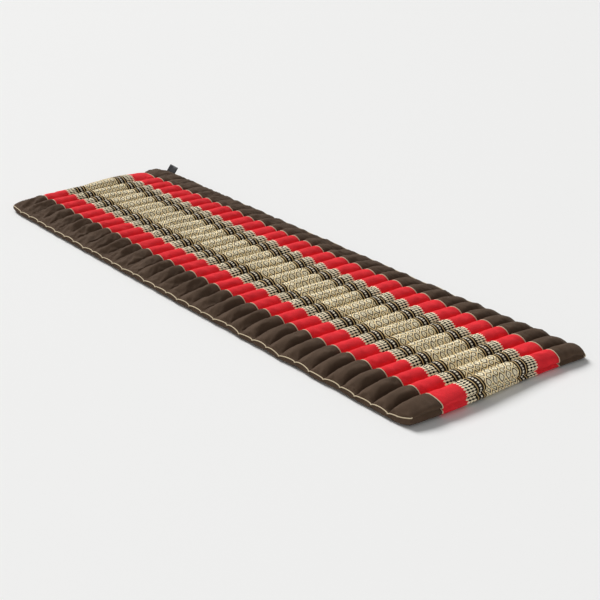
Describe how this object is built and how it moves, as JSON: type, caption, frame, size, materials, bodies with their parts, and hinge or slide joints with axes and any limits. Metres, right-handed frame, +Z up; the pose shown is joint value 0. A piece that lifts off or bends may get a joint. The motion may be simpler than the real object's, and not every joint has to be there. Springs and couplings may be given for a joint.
{
  "type": "yoga mat",
  "caption": "Roll-up floor mat: a row of filled, cross-sewn cotton channels with a patterned centre panel, plain side panels, piped seams and a blank label.",
  "frame": {"origin": "on the floor under the middle of the mat, on the flat underside of the middle roll", "axes": "+X along the mat, away from the end with the label; +Y across it, towards the edge with the label; +Z up out of the upper face"},
  "size_m": [1.9306, 0.6321, 0.0492],
  "materials": {
    "patterned_cotton": "matt woven cotton, red with a cream and brown woven pattern along the middle",
    "plain_cotton": "matt woven cotton, dark brown",
    "piping_cotton": "cream cotton bias strip over a thin cord",
    "label_tape": "charcoal woven tape"
  },
  "bodies": {
    "root": {"centre_panel": "patterned_cotton", "side_panel_front": "plain_cotton", "side_panel_back": "plain_cotton", "seam_piping_front": "piping_cotton", "seam_piping_back": "piping_cotton", "edge_piping_front": "piping_cotton", "edge_piping_back": "piping_cotton", "label": "label_tape"}
  },
  "joints": []
}
